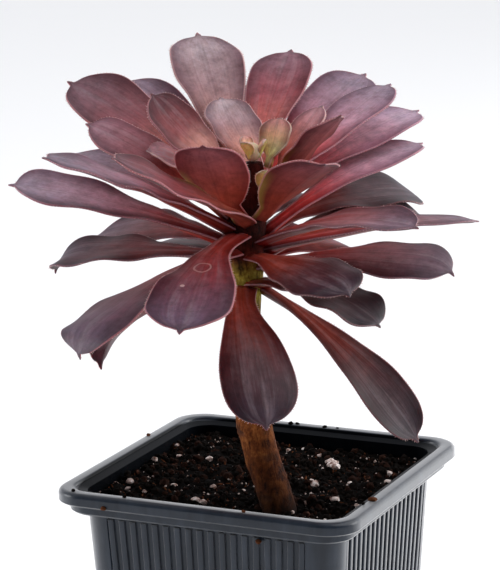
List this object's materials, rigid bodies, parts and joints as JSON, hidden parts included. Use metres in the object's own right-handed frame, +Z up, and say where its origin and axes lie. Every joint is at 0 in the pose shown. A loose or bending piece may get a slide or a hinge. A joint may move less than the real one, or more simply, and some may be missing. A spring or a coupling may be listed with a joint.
{
  "type": "potted aeonium",
  "caption": "Dark-leaved aeonium rosette on a bare leaning stem, rooted in soil in a square ribbed nursery pot.",
  "frame": {"origin": "Centre of the pot's flat underside, on the ground plane.", "axes": "+Z up along the plant's height; the pot's front wall faces -Y and its right wall +X, with the walls square to the axes."},
  "size_m": [0.1212, 0.1277, 0.2073],
  "materials": {
    "pot_plastic": "moulded dark grey polypropylene, satin",
    "peat_soil": "loose damp peat with pale grains, matt",
    "stem_bark": "smooth brown bark with leaf scars, matt",
    "young_leaf": "waxy yellow-green flesh, satin",
    "leaf_lower": "waxy dark purple-brown leaf flesh, soft gloss",
    "leaf_upper": "waxy mauve-red leaf flesh, satin"
  },
  "bodies": {
    "root": {"pot": "pot_plastic", "soil": "peat_soil", "stem": "stem_bark", "heart": "young_leaf", "leaf_01": "leaf_lower", "leaf_02": "leaf_lower", "leaf_03": "leaf_lower", "leaf_04": "leaf_lower", "leaf_05": "leaf_lower", "leaf_06": "leaf_lower", "leaf_07": "leaf_lower", "leaf_08": "leaf_lower", "leaf_09": "leaf_lower", "leaf_10": "leaf_lower", "leaf_11": "leaf_lower", "leaf_12": "leaf_lower", "leaf_13": "leaf_lower", "leaf_14": "leaf_lower", "leaf_15": "leaf_lower", "leaf_16": "leaf_lower", "leaf_17": "leaf_lower", "leaf_18": "leaf_upper", "leaf_19": "leaf_lower", "leaf_20": "leaf_upper", "leaf_21": "leaf_lower", "leaf_22": "leaf_upper", "leaf_23": "leaf_upper", "leaf_24": "leaf_upper", "leaf_25": "leaf_upper", "leaf_26": "leaf_upper", "leaf_27": "leaf_upper", "leaf_28": "leaf_upper", "leaf_29": "leaf_upper", "leaf_30": "leaf_upper", "leaf_31": "leaf_upper", "leaf_32": "leaf_upper", "leaf_33": "leaf_upper", "leaf_34": "leaf_upper", "leaf_35": "leaf_upper", "leaf_36": "leaf_upper", "leaf_37": "leaf_upper", "leaf_38": "leaf_upper", "leaf_39": "leaf_upper", "leaf_40": "leaf_upper", "leaf_41": "leaf_upper", "leaf_42": "leaf_upper", "leaf_43": "leaf_upper", "leaf_44": "leaf_upper", "leaf_45": "leaf_upper"}
  },
  "joints": []
}
